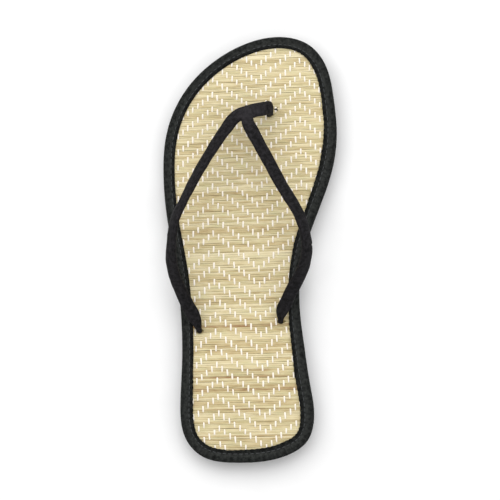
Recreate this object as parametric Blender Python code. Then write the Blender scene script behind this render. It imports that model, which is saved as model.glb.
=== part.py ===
"""A left bamboo flip-flop: a foam outsole, a thinner insole of foam board, a woven bamboo mat, a cloth
tape that binds the mat and the insole round their edge, and a cloth thong strap whose three ends
pass through the mat and the insole and are spread flat under the insole.

The toe points along +Y, the outer side of the foot is at -X and +Z is up. The origin lies on the
floor, under the middle of the sole's length and width. Sizes are in metres.
"""

import math

import bmesh
import bpy
import numpy as np

# Sole
SOLE_LENGTH = 0.255
BALL_WIDTH = 0.104
OUTSOLE_HEEL = 0.0075
OUTSOLE_TOE = 0.0055
OUTSOLE_INSET = 0.0006
OUTSOLE_EDGE_ROUND = 0.0007
TOE_SPRING = 0.005
SPRING_START = 0.66  # share of the length, from the heel, where the toe begins to rise

# Insole board, mat and binding
FIT = 0.0003  # gap between two pieces that touch
INSOLE_THICKNESS = 0.0034
MAT_THICKNESS = 0.0016
PICK_PITCH = 0.00243  # one bundle of slivers to the next
PICK_RELIEF = 0.0003
TAPE_THICKNESS = 0.0009
TAPE_OVER = 0.0074  # usual width of the binding that shows on the mat
TAPE_UNDER = 0.005
TAPE_ROUND = 0.0017

# Strap
STRAP_WIDTH = 0.0085
STRAP_THICKNESS = 0.0036
STRAP_RISE = 0.036  # highest line of the strap's middle above the mat
STEM_DIAMETER = 0.0036
STEM_CLEARANCE = 0.0005  # around each stem in its hole
TAB_DIAMETER = 0.008
TAB_THICKNESS = 0.0015

# Levels above the top of the outsole
INSOLE_RIM = FIT + TAPE_THICKNESS + FIT
INSOLE_TOP = FIT + INSOLE_THICKNESS
MAT_BASE = INSOLE_TOP + FIT
MAT_TOP = MAT_BASE + MAT_THICKNESS
TAPE_CEILING = MAT_TOP + FIT
TAPE_CREST = TAPE_CEILING + TAPE_THICKNESS
CORE_INSET = TAPE_THICKNESS + FIT  # how far the mat and the insole stay inside the binding's edge

# Fineness
STATIONS = 56  # steps from toe to heel along each side
EDGE_POINTS = 1600
DISC_SIDES = 24
SECTION_SIDES = 12
SECTION_SQUARENESS = 0.85  # 1 is an ellipse, less has flatter faces
OUTER_ARM_STEPS = 84
INNER_ARM_STEPS = 58
SHARPEST_SMOOTH_EDGE = math.radians(40)

# The sole's edge, from the toe along the outer side to the heel and back along the inner side.
# Columns: share of the length from the heel, share of the ball width from the outer side, share of
# the binding's usual width on the mat, which is sewn by hand and eye.
SOLE_EDGE = (
    (1.000, 0.690, 0.89),
    (0.982, 0.462, 0.84),
    (0.940, 0.284, 0.80),
    (0.888, 0.153, 0.88),
    (0.822, 0.057, 0.86),
    (0.752, 0.010, 0.87),
    (0.680, 0.001, 0.91),
    (0.603, 0.013, 0.93),
    (0.528, 0.042, 0.89),
    (0.447, 0.078, 0.83),
    (0.357, 0.101, 0.86),
    (0.250, 0.109, 0.88),
    (0.141, 0.099, 1.05),
    (0.058, 0.128, 1.00),
    (0.018, 0.212, 1.02),
    (0.000, 0.423, 1.07),
    (0.018, 0.718, 1.11),
    (0.049, 0.827, 1.10),
    (0.115, 0.870, 1.15),
    (0.190, 0.844, 1.12),
    (0.275, 0.813, 1.05),
    (0.357, 0.788, 0.95),
    (0.425, 0.787, 0.86),
    (0.488, 0.808, 0.95),
    (0.546, 0.852, 1.04),
    (0.611, 0.912, 1.11),
    (0.672, 0.964, 1.16),
    (0.765, 1.000, 1.09),
    (0.860, 0.981, 1.03),
    (0.937, 0.932, 1.04),
    (0.982, 0.838, 0.98),
)

# Where each end of the strap goes through the mat. Columns: shares as above.
HOLES = {
    "toe": (0.8182, 0.609),
    "outer": (0.310, 0.208),
    "inner": (0.332, 0.677),
}

# The strap's middle line, from the toe hole over the outer side, and then the inner arm.
# Columns: share of the length, share of the ball width, share of the rise, share of the strap's
# width and of its thickness, heading of its outer edge in degrees from +X, dip of that edge.
TOE_AND_OUTER_ARM = (
    (0.8209, 0.611, 0.090, 0.48, 0.90, 90, 0),
    (0.8269, 0.618, 0.170, 0.76, 0.95, 92, 0),
    (0.8330, 0.614, 0.270, 0.92, 1.00, 96, 0),
    (0.8321, 0.584, 0.380, 0.98, 1.00, 103, 5),
    (0.8293, 0.554, 0.450, 1.00, 1.00, 105, 7),
    (0.8261, 0.516, 0.510, 0.98, 1.00, 107, 9),
    (0.8218, 0.482, 0.550, 0.95, 1.00, 110, 10),
    (0.8185, 0.449, 0.570, 0.91, 1.00, 118, 12),
    (0.8103, 0.415, 0.590, 0.89, 1.00, 128, 16),
    (0.7878, 0.370, 0.630, 0.90, 1.00, 138, 26),
    (0.7679, 0.334, 0.655, 0.91, 1.00, 143, 34),
    (0.7427, 0.293, 0.690, 0.92, 1.00, 148, 41),
    (0.7241, 0.265, 0.715, 0.93, 1.00, 149, 46),
    (0.6891, 0.214, 0.775, 0.93, 1.00, 150, 52),
    (0.6557, 0.169, 0.830, 0.93, 1.00, 151, 55),
    (0.6261, 0.132, 0.875, 0.93, 1.00, 154, 57),
    (0.6001, 0.101, 0.905, 0.93, 1.00, 158, 58),
    (0.5799, 0.078, 0.930, 0.93, 1.00, 162, 57),
    (0.5301, 0.053, 0.920, 0.94, 1.00, 175, 55),
    (0.4839, 0.048, 0.810, 0.97, 1.00, 182, 50),
    (0.4401, 0.068, 0.620, 0.97, 1.00, 192, 42),
    (0.4051, 0.102, 0.430, 0.97, 1.00, 200, 32),
    (0.3720, 0.141, 0.280, 0.97, 1.00, 203, 22),
    (0.3410, 0.181, 0.190, 0.91, 1.00, 204, 10),
    (0.3211, 0.200, 0.125, 0.57, 0.95, 204, 0),
)
INNER_ARM = (
    (0.8352, 0.489, 0.500, 0.56, 0.60, 3, 0),
    (0.8272, 0.487, 0.575, 0.66, 0.85, 3, 0),
    (0.8122, 0.483, 0.600, 0.84, 0.95, 14, 8),
    (0.7971, 0.489, 0.610, 0.92, 1.00, 25, 10),
    (0.7796, 0.511, 0.625, 0.94, 1.00, 28, 14),
    (0.7596, 0.538, 0.650, 0.94, 1.00, 29, 24),
    (0.6951, 0.623, 0.760, 0.95, 1.00, 30, 29),
    (0.6622, 0.667, 0.810, 0.93, 1.00, 29, 34),
    (0.6289, 0.716, 0.860, 0.93, 1.00, 28, 34),
    (0.5799, 0.784, 0.920, 0.94, 1.00, 22, 42),
    (0.5389, 0.817, 0.920, 0.96, 1.00, 10, 48),
    (0.5090, 0.826, 0.860, 0.97, 1.00, 0, 48),
    (0.4729, 0.815, 0.700, 0.97, 1.00, -10, 44),
    (0.4371, 0.782, 0.520, 0.97, 1.00, -20, 34),
    (0.4029, 0.737, 0.360, 0.97, 1.00, -25, 24),
    (0.3739, 0.702, 0.240, 0.93, 1.00, -27, 14),
    (0.3539, 0.685, 0.170, 0.82, 1.00, -25, 5),
    (0.3405, 0.680, 0.110, 0.60, 0.95, -20, 0),
)


def cubic_curve(points, samples, closed=False):
    """A smooth cubic spline through rows of numbers, with the knots as far apart as the rows are."""
    rows = np.array(points, float)
    if closed:
        rows = np.vstack([rows, rows[:1]])
    spans = np.linalg.norm(np.diff(rows[:, :3], axis=0), axis=1)
    knots = np.concatenate([[0], np.cumsum(spans)])
    slopes = np.diff(rows, axis=0) / spans[:, None]
    last = len(rows) - 1
    system = np.eye(len(rows))
    right = np.zeros_like(rows)
    for i in range(1, last):
        system[i, i - 1 : i + 2] = spans[i - 1], 2 * (spans[i - 1] + spans[i]), spans[i]
        right[i] = 6 * (slopes[i] - slopes[i - 1])
    if closed:
        system[0, last] = -1
        system[last, [0, 1]] = 2 * spans[0], spans[0]
        system[last, [last - 1, last]] = spans[-1], 2 * spans[-1]
        right[last] = 6 * (slopes[0] - slopes[-1])
    bends = np.linalg.solve(system, right)
    at = np.linspace(0, knots[-1], samples, endpoint=not closed)
    i = np.clip(np.searchsorted(knots, at, side="right") - 1, 0, last - 1)
    span = spans[i][:, None]
    before = (at - knots[i])[:, None]
    after = span - before
    return (
        (bends[i] * after**3 + bends[i + 1] * before**3) / (6 * span)
        + (rows[i] / span - bends[i] * span / 6) * after
        + (rows[i + 1] / span - bends[i + 1] * span / 6) * before
    )


def plan(along, across):
    """The place in plan of shares of the length and of the ball width."""
    return (across - 0.5) * BALL_WIDTH, (along - 0.5) * SOLE_LENGTH


def floor_height(y):
    """The underside of the outsole: flat, then rising towards the toe."""
    start = (SPRING_START - 0.5) * SOLE_LENGTH
    share = np.clip((y - start) / (SOLE_LENGTH / 2 - start), 0, 1)
    return TOE_SPRING * share**2


def sole_top(y):
    """The top of the outsole, which thins from heel to toe."""
    return floor_height(y) + OUTSOLE_HEEL + (OUTSOLE_TOE - OUTSOLE_HEEL) * (y / SOLE_LENGTH + 0.5)


def edge_curve():
    """The sole's edge as many points, their normals that point inwards, and the binding's width."""
    rows = [(*plan(along, across), 0, tape) for along, across, tape in SOLE_EDGE]
    curve = cubic_curve(rows, EDGE_POINTS, closed=True)
    points = curve[:, :2]
    ahead = np.roll(points, -1, axis=0) - np.roll(points, 1, axis=0)
    ahead /= np.linalg.norm(ahead, axis=1)[:, None]
    return points, np.column_stack([-ahead[:, 1], ahead[:, 0]]), curve[:, 3:] * TAPE_OVER


EDGE, INWARD, TAPE_WIDTH = edge_curve()


def sides(inset):
    """The edge moved in by a distance, or by one distance for each of its points, as its outer and
    its inner side, each from toe to heel."""
    points = EDGE + INWARD * inset
    points = np.roll(points, -int(points[:, 1].argmax()), axis=0)
    heel = int(points[:, 1].argmin())
    outer = points[: heel + 1]
    inner = np.vstack([points[:1], points[:heel - 1 : -1]])
    return outer, inner


def stations(inset):
    """The moved edge in few steps: y from toe to heel, with x on the outer and the inner side."""
    outer, inner = sides(inset)
    toe, heel = outer[0, 1], outer[-1, 1]
    turn = np.linspace(0, math.pi, STATIONS + 1)
    y = (toe + heel) / 2 + (toe - heel) / 2 * np.cos(turn)
    return y, *(np.interp(-y, -side[:, 1], side[:, 0]) for side in (outer, inner))


def loop(y, left, right, height):
    """A closed ring of such stations, anticlockwise from the toe, where height(y) gives its z."""
    x = np.concatenate([left, right[-2:0:-1]])
    y = np.concatenate([y, y[-2:0:-1]])
    return np.column_stack([x, y, height(y)])


def ring(inset, height):
    """The closed ring of the edge moved in by a distance."""
    return loop(*stations(inset), height)


def above_sole(level):
    """The height of a layer that lies this far above the outsole."""
    return lambda y: sole_top(y) + level


def across_strips(count):
    """Faces that close a ring of this many points with strips that run across it, facing up."""
    half = count // 2
    faces = [(0, 1, count - 1), (half - 1, half, half + 1)]
    faces += [(k, k + 1, count - k - 1, count - k) for k in range(1, half - 1)]
    return faces


def around(count, low, high):
    """Faces between two rings of this many points, whose first points have these numbers."""
    return [
        (low + i, low + (i + 1) % count, high + (i + 1) % count, high + i) for i in range(count)
    ]


def make_object(name, points, faces, material):
    mesh = bpy.data.meshes.new(name)
    mesh.from_pydata([tuple(p) for p in points], [], faces)
    clean = bmesh.new()
    clean.from_mesh(mesh)
    bmesh.ops.recalc_face_normals(clean, faces=clean.faces)
    clean.to_mesh(mesh)
    clean.free()
    mesh.shade_smooth()
    mesh.set_sharp_from_angle(angle=SHARPEST_SMOOTH_EDGE)
    if material:
        mesh.materials.append(material)
    obj = bpy.data.objects.new(name, mesh)
    bpy.context.scene.collection.objects.link(obj)
    return obj


def stack_of_rings(name, rings, material):
    """A closed solid of rings from the bottom up, with strips across its two ends."""
    count = len(rings[0])
    strips = across_strips(count)
    top = (len(rings) - 1) * count
    faces = [face[::-1] for face in strips]
    faces += [tuple(top + i for i in face) for face in strips]
    for step in range(len(rings) - 1):
        faces += around(count, step * count, (step + 1) * count)
    return make_object(name, np.vstack(rings), faces, material)


def hoop_of_rings(name, rings, material):
    """A closed hoop whose section is the line of rings, joined last to first."""
    count = len(rings[0])
    faces = []
    for step in range(len(rings)):
        faces += around(count, step * count, (step + 1) % len(rings) * count)
    return make_object(name, np.vstack(rings), faces, material)


def plain_material(name, colour, roughness):
    material = bpy.data.materials.new(name)
    material.use_nodes = True
    shader = material.node_tree.nodes["Principled BSDF"]
    shader.inputs["Base Color"].default_value = (*colour, 1)
    shader.inputs["Roughness"].default_value = roughness
    shader.inputs["Metallic"].default_value = 0
    return material


def outsole(material):
    """Black foam: a flat tread face, upright sides with softened edges."""
    soft = OUTSOLE_EDGE_ROUND
    rings = (
        ring(OUTSOLE_INSET + soft, floor_height),
        ring(OUTSOLE_INSET, lambda y: floor_height(y) + soft),
        ring(OUTSOLE_INSET, lambda y: sole_top(y) - soft),
        ring(OUTSOLE_INSET + soft, sole_top),
    )
    return stack_of_rings("outsole", rings, material)


def insole(material):
    """A board whose middle lies on the outsole, and whose thinner rim is held in the binding."""
    middle = TAPE_UNDER + FIT
    rings = (
        ring(middle, above_sole(FIT)),
        ring(middle, above_sole(INSOLE_RIM)),
        ring(CORE_INSET, above_sole(INSOLE_RIM)),
        ring(CORE_INSET, above_sole(INSOLE_TOP)),
    )
    return stack_of_rings("insole", rings, material)


def bamboo_mat(material):
    """One sheet with a raised rib across it for each pick of slivers."""
    edge_y, left, right = stations(CORE_INSET)
    toe, heel = edge_y[0], edge_y[-1]
    picks = int((toe - heel) / PICK_PITCH)
    first = (toe + heel + picks * PICK_PITCH) / 2
    grooves = first - np.arange(picks + 1) * PICK_PITCH
    crests = grooves[:-1] - PICK_PITCH / 2
    y = np.concatenate([[toe, heel], grooves, crests])
    y = np.sort(y)[::-1]
    left, right = (np.interp(-y, -edge_y, side) for side in (left, right))

    def top(along):
        sunk = PICK_RELIEF * np.isin(along, crests, invert=True)
        return sole_top(along) + MAT_TOP - sunk

    low = loop(y, left, right, above_sole(MAT_BASE))
    return stack_of_rings("bamboo_mat", (low, loop(y, left, right, top)), material)


def edge_binding(material):
    """Cloth tape folded round the edge of the insole and the mat, as a hoop with a U section."""
    wall = TAPE_THICKNESS
    # Columns: distance in from the sole's edge, level above the outsole.
    section = (
        (TAPE_UNDER, FIT),
        (TAPE_ROUND, FIT),
        (TAPE_ROUND / 4, FIT + TAPE_ROUND / 3),
        (0, FIT + TAPE_ROUND),
        (0, TAPE_CREST - TAPE_ROUND),
        (TAPE_ROUND / 4, TAPE_CREST - TAPE_ROUND / 3),
        (TAPE_ROUND, TAPE_CREST),
        (TAPE_WIDTH - wall, TAPE_CREST),
        (TAPE_WIDTH, TAPE_CEILING + wall / 2),
        (TAPE_WIDTH, TAPE_CEILING),
        (wall, TAPE_CEILING),
        (wall, FIT + wall),
        (TAPE_UNDER, FIT + wall),
    )
    rings = [ring(inset, above_sole(level)) for inset, level in section]
    return hoop_of_rings("edge_binding", rings, material)


def disc(name, hole, diameter, low, high, material=None):
    """A round plate on a hole's axis, between two levels above the outsole and level with it."""
    x, y = plan(*HOLES[hole])
    turn = np.linspace(math.pi / 2, math.pi * 5 / 2, DISC_SIDES, endpoint=False)
    across = x + diameter / 2 * np.cos(turn)
    along = y + diameter / 2 * np.sin(turn)
    rings = [
        np.column_stack([across, along, sole_top(along) + level]) for level in (low, high)
    ]
    return stack_of_rings(name, rings, material)


def section_outline():
    """The strap's cross-section in shares of its half width and half thickness."""
    turn = np.linspace(0, 2 * math.pi, SECTION_SIDES, endpoint=False)
    wide, thick = np.cos(turn), np.sin(turn)
    return (
        np.sign(wide) * np.abs(wide) ** SECTION_SQUARENESS,
        np.sign(thick) * np.abs(thick) ** SECTION_SQUARENESS,
    )


def strap_row(row):
    """A row of an arm's table as x, y, z, width, thickness, heading and dip."""
    along, across, rise, width, thickness, heading, dip = row
    x, y = plan(along, across)
    z = sole_top(y) + MAT_TOP + rise * STRAP_RISE
    return x, y, z, width * STRAP_WIDTH, thickness * STRAP_THICKNESS, heading, dip


def stem_rows(hole, arm_end):
    """The round stem of a strap's end, from just above the mat down into its tab."""
    x, y = plan(*HOLES[hole])
    heading = arm_end[5]
    round_end = (STEM_DIAMETER, STEM_DIAMETER, heading, 0)
    levels = TAPE_CREST, MAT_TOP, MAT_BASE, FIT + TAB_THICKNESS / 2
    return [(x, y, sole_top(y) + level, *round_end) for level in levels]


def band(name, rows, steps, material):
    """A cloth tube swept along rows of x, y, z, width, thickness, heading and dip."""
    curve = cubic_curve(rows, steps)
    middle = curve[:, :3]
    width, thickness = curve[:, 3] / 2, curve[:, 4] / 2
    heading, dip = np.radians(curve[:, 5]), np.radians(curve[:, 6])
    ahead = np.gradient(middle, axis=0)
    ahead /= np.linalg.norm(ahead, axis=1)[:, None]
    out = np.column_stack(
        [np.cos(dip) * np.cos(heading), np.cos(dip) * np.sin(heading), -np.sin(dip)]
    )
    out -= ahead * (out * ahead).sum(axis=1)[:, None]
    out /= np.linalg.norm(out, axis=1)[:, None]
    up = np.cross(ahead, out)
    wide, thick = section_outline()
    points = (
        middle[:, None]
        + out[:, None] * (width[:, None] * wide)[:, :, None]
        + up[:, None] * (thickness[:, None] * thick)[:, :, None]
    ).reshape(-1, 3)
    faces = [tuple(range(SECTION_SIDES))]
    faces.append(tuple(range(len(points) - 1, len(points) - 1 - SECTION_SIDES, -1)))
    for step in range(steps - 1):
        faces += around(SECTION_SIDES, step * SECTION_SIDES, (step + 1) * SECTION_SIDES)
    return make_object(name, points, faces, material)


def combine(target, other, operation):
    """A Boolean of another object on this one, with the other kept out of the model."""
    modifier = target.modifiers.new(f"{operation.lower()} {other.name}", "BOOLEAN")
    modifier.operation = operation
    modifier.solver = "EXACT"
    modifier.object = other
    other.hide_render = True
    other.display_type = "WIRE"


def strap_upper(material):
    """The thong: the toe loop and outer arm in one length, the inner arm sewn over it, three tabs."""
    outer_rows = stem_rows("toe", TOE_AND_OUTER_ARM[0])[::-1]
    outer_rows += [strap_row(row) for row in TOE_AND_OUTER_ARM]
    outer_rows += stem_rows("outer", TOE_AND_OUTER_ARM[-1])
    inner_rows = [strap_row(row) for row in INNER_ARM] + stem_rows("inner", INNER_ARM[-1])
    strap = band("strap_upper", outer_rows, OUTER_ARM_STEPS, material)
    combine(strap, band("inner_arm", inner_rows, INNER_ARM_STEPS, material), "UNION")
    for hole in HOLES:
        tab = disc(f"tab_{hole}", hole, TAB_DIAMETER, FIT, FIT + TAB_THICKNESS, material)
        combine(strap, tab, "UNION")


def cut_strap_ways(board, mat):
    """Holes for the stems through the mat and the insole, and a pocket for each tab."""
    pocket_top = FIT + TAB_THICKNESS + FIT
    for hole in HOLES:
        way = disc(f"way_{hole}", hole, STEM_DIAMETER + 2 * STEM_CLEARANCE, -FIT, TAPE_CREST)
        pocket = disc(f"pocket_{hole}", hole, TAB_DIAMETER + 2 * FIT, -FIT, pocket_top)
        combine(mat, way, "DIFFERENCE")
        combine(board, way, "DIFFERENCE")
        combine(board, pocket, "DIFFERENCE")


def build():
    for obj in list(bpy.data.objects):
        bpy.data.objects.remove(obj)
    foam = plain_material("black foam", (0.018, 0.018, 0.020), 0.75)
    board = plain_material("pale foam board", (0.55, 0.52, 0.45), 0.9)
    bamboo = plain_material("bamboo slivers", (0.70, 0.58, 0.34), 0.55)
    tape = plain_material("black cotton tape", (0.016, 0.016, 0.018), 0.9)
    cloth = plain_material("black cotton strap", (0.010, 0.010, 0.012), 0.92)
    outsole(foam)
    insole_board = insole(board)
    mat = bamboo_mat(bamboo)
    edge_binding(tape)
    strap_upper(cloth)
    cut_strap_ways(insole_board, mat)


build()
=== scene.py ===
"""A left bamboo flip-flop, dressed piece by piece: foam outsole, foam board, woven bamboo mat, cloth
binding and cloth thong strap. Sizes are in metres unless a name says otherwise."""

import math

import bmesh
import bpy
import numpy as np
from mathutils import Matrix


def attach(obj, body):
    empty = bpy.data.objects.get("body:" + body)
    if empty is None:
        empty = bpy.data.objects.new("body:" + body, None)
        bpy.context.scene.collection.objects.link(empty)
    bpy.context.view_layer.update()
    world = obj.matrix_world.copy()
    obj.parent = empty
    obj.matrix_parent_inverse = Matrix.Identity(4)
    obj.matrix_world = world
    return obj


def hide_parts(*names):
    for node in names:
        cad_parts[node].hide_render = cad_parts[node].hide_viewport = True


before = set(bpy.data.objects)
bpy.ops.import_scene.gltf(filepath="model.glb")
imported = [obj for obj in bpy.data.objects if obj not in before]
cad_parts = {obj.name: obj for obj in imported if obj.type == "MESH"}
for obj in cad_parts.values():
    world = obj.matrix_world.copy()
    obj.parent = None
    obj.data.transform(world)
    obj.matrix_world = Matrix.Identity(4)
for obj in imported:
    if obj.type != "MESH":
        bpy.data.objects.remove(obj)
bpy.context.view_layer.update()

# The outsole: black EVA foam cut from a sheet with a fine zigzag tread moulded in its underside.
# Its rim was trimmed and sanded, which leaves a matt skin with fine pores and softly broken edges.
# It is glued under the insole board and the binding.

SOLE_LENGTH = 0.255
BALL_WIDTH = 0.104
OUTSOLE_HEEL = 0.0075
OUTSOLE_TOE = 0.0055
OUTSOLE_INSET = 0.0006
OUTSOLE_EDGE_ROUND = 0.0007
TOE_SPRING = 0.005
SPRING_START = 0.66  # share of the length, from the heel, where the toe begins to rise
TREAD_PITCH = 0.0048
TREAD_DEPTH = 0.0007
TREAD_ZIGZAG = 0.017
TREAD_MARGIN = 0.007
TAPE_OVER = 0.0074  # usual width of the binding on the mat

# The edge, from the toe along the outer side to the heel and back along the inner side.
# Columns: share of the length from the heel, share of the ball width from the outer side, share of
# the binding's usual width, because it was folded and sewn by hand and eye.
SOLE_EDGE = (
    (1.000, 0.690, 0.89),
    (0.982, 0.462, 0.84),
    (0.940, 0.284, 0.80),
    (0.888, 0.153, 0.88),
    (0.822, 0.057, 0.86),
    (0.752, 0.010, 0.87),
    (0.680, 0.001, 0.91),
    (0.603, 0.013, 0.93),
    (0.528, 0.042, 0.89),
    (0.447, 0.078, 0.83),
    (0.357, 0.101, 0.86),
    (0.250, 0.109, 0.88),
    (0.141, 0.099, 1.05),
    (0.058, 0.128, 1.00),
    (0.018, 0.212, 1.02),
    (0.000, 0.423, 1.07),
    (0.018, 0.718, 1.11),
    (0.049, 0.827, 1.10),
    (0.115, 0.870, 1.15),
    (0.190, 0.844, 1.12),
    (0.275, 0.813, 1.05),
    (0.357, 0.788, 0.95),
    (0.425, 0.787, 0.86),
    (0.488, 0.808, 0.95),
    (0.546, 0.852, 1.04),
    (0.611, 0.912, 1.11),
    (0.672, 0.964, 1.16),
    (0.765, 1.000, 1.09),
    (0.860, 0.981, 1.03),
    (0.937, 0.932, 1.04),
    (0.982, 0.838, 0.98),
)


def smooth_curve(rows, samples, closed=False):
    """A cubic spline through rows of numbers: each stretch is a cubic whose slope and bend run on into
    the next one's, and its length is the distance between the first three numbers of its rows."""
    rows = np.array(rows, float)
    if closed:
        rows = np.vstack([rows, rows[:1]])
    spans = np.linalg.norm(np.diff(rows[:, :3], axis=0), axis=1)
    knots = np.concatenate([[0], np.cumsum(spans)])
    slopes = np.diff(rows, axis=0) / spans[:, None]
    last = len(rows) - 1
    system = np.eye(len(rows))
    right = np.zeros_like(rows)
    for i in range(1, last):
        system[i, i - 1 : i + 2] = spans[i - 1], 2 * (spans[i - 1] + spans[i]), spans[i]
        right[i] = 6 * (slopes[i] - slopes[i - 1])
    if closed:
        system[0, last] = -1
        system[last, [0, 1]] = 2 * spans[0], spans[0]
        system[last, [last - 1, last]] = spans[-1], 2 * spans[-1]
        right[last] = 6 * (slopes[0] - slopes[-1])
    bends = np.linalg.solve(system, right)
    at = np.linspace(0, knots[-1], samples, endpoint=not closed)
    i = np.clip(np.searchsorted(knots, at, side="right") - 1, 0, last - 1)
    span = spans[i][:, None]
    before = (at - knots[i])[:, None]
    after = span - before
    return (
        (bends[i] * after**3 + bends[i + 1] * before**3) / (6 * span)
        + (rows[i] / span - bends[i] * span / 6) * after
        + (rows[i + 1] / span - bends[i + 1] * span / 6) * before
    )


def plan(along, across):
    """The place in plan of shares of the sole's length and ball width."""
    return (across - 0.5) * BALL_WIDTH, (along - 0.5) * SOLE_LENGTH


def floor_height(y):
    """The outsole's underside: flat, then a parabola that lifts the toe."""
    start = (SPRING_START - 0.5) * SOLE_LENGTH
    share = np.clip((y - start) / (SOLE_LENGTH / 2 - start), 0, 1)
    return TOE_SPRING * share**2


def sole_top(y):
    """The outsole's top: the underside plus a thickness that falls evenly from heel to toe."""
    return floor_height(y) + OUTSOLE_HEEL + (OUTSOLE_TOE - OUTSOLE_HEEL) * (y / SOLE_LENGTH + 0.5)


def edge_curve(points=2400):
    """Points evenly spaced along the sole's edge: place, inward direction and binding width."""
    rows = [(*plan(along, across), 0, tape) for along, across, tape in SOLE_EDGE]
    curve = smooth_curve(rows, points, closed=True)
    ahead = np.roll(curve[:, :2], -1, axis=0) - np.roll(curve[:, :2], 1, axis=0)
    ahead /= np.linalg.norm(ahead, axis=1)[:, None]
    return curve[:, :2], np.column_stack([-ahead[:, 1], ahead[:, 0]]), curve[:, 3:] * TAPE_OVER


def sides(inset, tape_share=0):
    """The edge moved inwards, by an inset and a share of the binding's width, as two lines from toe
    to heel: the outer side and the inner side."""
    line, inward, tape = edge_curve()
    line = line + inward * (inset + tape_share * tape)
    line = np.roll(line, -int(line[:, 1].argmax()), axis=0)
    heel = int(line[:, 1].argmin())
    return line[: heel + 1], np.vstack([line[:1], line[: heel - 1 : -1]])


def across_at(inset, y):
    """x of the outer and the inner side of the moved edge at each y."""
    outer, inner = sides(inset)
    return tuple(np.interp(-y, -side[:, 1], side[:, 0]) for side in (outer, inner))


def stations(inset, steps):
    """y from toe to heel on a half circle, so that steps are short at both ends, with both x."""
    outer, _ = sides(inset)
    toe, heel = outer[0, 1], outer[-1, 1]
    y = (toe + heel) / 2 + (toe - heel) / 2 * np.cos(np.linspace(0, math.pi, steps + 1))
    return y, *across_at(inset, y)


def quads(rows, columns, wrap_rows=False, wrap_columns=False):
    """Corner rows and corner columns of the quads between neighbouring points of a grid."""
    r = np.arange(rows if wrap_rows else rows - 1)
    c = np.arange(columns if wrap_columns else columns - 1)
    r, c = (part.ravel() for part in np.meshgrid(r, c, indexing="ij"))
    return np.stack([r, r, r + 1, r + 1], 1), np.stack([c, c + 1, c + 1, c], 1)


def make_piece(name, points, faces, uv=None, tone_and_painted_light=None, sharp=40, merge=False):
    """A mesh of these points and faces, with faces turned outwards; uv is given for each face
    corner in turn, and tone for each point."""
    mesh = bpy.data.meshes.new(name)
    mesh.from_pydata(points.reshape(-1, 3).tolist(), [], faces)
    if uv is not None:
        layer = mesh.uv_layers.new(name="UVMap")
        layer.data.foreach_set("uv", np.asarray(uv, np.float32).ravel())
    if tone_and_painted_light is not None:
        attribute = mesh.attributes.new("tone_and_painted_light", "FLOAT", "POINT")
        attribute.data.foreach_set("value", np.asarray(tone_and_painted_light, np.float32).ravel())
    clean = bmesh.new()
    clean.from_mesh(mesh)
    if merge:
        bmesh.ops.remove_doubles(clean, verts=clean.verts, dist=1e-7)
        bmesh.ops.dissolve_degenerate(clean, edges=clean.edges, dist=1e-8)
    bmesh.ops.recalc_face_normals(clean, faces=clean.faces)
    clean.to_mesh(mesh)
    clean.free()
    mesh.shade_smooth()
    mesh.set_sharp_from_angle(angle=math.radians(sharp))
    piece = bpy.data.objects.new(name, mesh)
    bpy.context.scene.collection.objects.link(piece)
    return piece


def sheet_solid(profile, steps, columns, underside=None):
    """Points and faces of a flat piece of the sole's outline. profile lists (inset, height function)
    from the underside's rim to the top's rim, and each end is closed by a grid that runs across."""
    rings = []
    for inset, height in profile:
        y, outer, inner = stations(inset, steps)
        x = np.concatenate([outer, inner[-2:0:-1]])
        y = np.concatenate([y, y[-2:0:-1]])
        rings.append(np.column_stack([x, y, height(y)]))
    row, column = quads(len(rings), 2 * steps, wrap_columns=True)
    faces = (row * 2 * steps + column % (2 * steps)).tolist()
    points = [np.vstack(rings)]
    count = len(points[0])
    for (inset, height), shape in ((profile[0], underside), (profile[-1], None)):
        y, outer, inner = stations(inset, steps)
        share = np.linspace(0, 1, columns + 1)
        x = outer[:, None] + (inner - outer)[:, None] * share
        y = np.broadcast_to(y[:, None], x.shape)
        z = height(y)
        if shape is not None:
            z = z + shape(x, y, np.minimum(x - outer[:, None], inner[:, None] - x))
        points.append(np.stack([x, y, z], -1).reshape(-1, 3))
        row, column = quads(steps + 1, columns + 1)
        faces += (count + row * (columns + 1) + column).tolist()
        count += x.size
    return np.vstack(points), faces


def tread(x, y, from_edge):
    """Grooves that run across in a zigzag: a cosine of y, shifted by a triangle wave of x, that dies
    out near the rim and cuts upwards only."""
    zigzag = TREAD_PITCH * np.abs((x / TREAD_ZIGZAG) % 1 - 0.5) * 2
    wave = np.cos((y + zigzag) * math.tau / TREAD_PITCH)
    toe, heel = y[0, 0], y[-1, 0]
    margin = np.minimum(np.minimum(from_edge, toe - y), y - heel) / TREAD_MARGIN
    return TREAD_DEPTH * np.clip(wave * 1.6 - 0.3, 0, 1) * np.clip(margin * 2 - 1, 0, 1)


def rounded_rim(inset, radius, low, high, steps=6):
    """A profile of an upright rim between two heights, with a quarter circle at each corner."""
    turn = np.linspace(0, math.pi / 2, steps)
    lower = [
        (inset + radius * (1 - math.sin(a)), lambda y, a=a: low(y) + radius * (1 - math.cos(a)))
        for a in turn
    ]
    upper = [
        (inset + radius * (1 - math.cos(a)), lambda y, a=a: high(y) - radius * (1 - math.sin(a)))
        for a in turn
    ]
    return lower + upper


def linear(code):
    """An sRGB hex colour as linear red, green, blue and alpha."""
    values = [int(code[i : i + 2], 16) / 255 for i in (1, 3, 5)]
    return [v / 12.92 if v <= 0.04045 else ((v + 0.055) / 1.055) ** 2.4 for v in values] + [1]


def add(material, kind, inputs=None, **settings):
    """Adds a shader node, sets its properties, and sets or links its inputs: a value that is a
    socket is linked, and any other value is set."""
    node = material.node_tree.nodes.new(kind)
    for name, value in settings.items():
        setattr(node, name, value)
    for name, value in (inputs or {}).items():
        if isinstance(value, bpy.types.NodeSocket):
            material.node_tree.links.new(value, node.inputs[name])
        else:
            node.inputs[name].default_value = value
    return node


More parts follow.
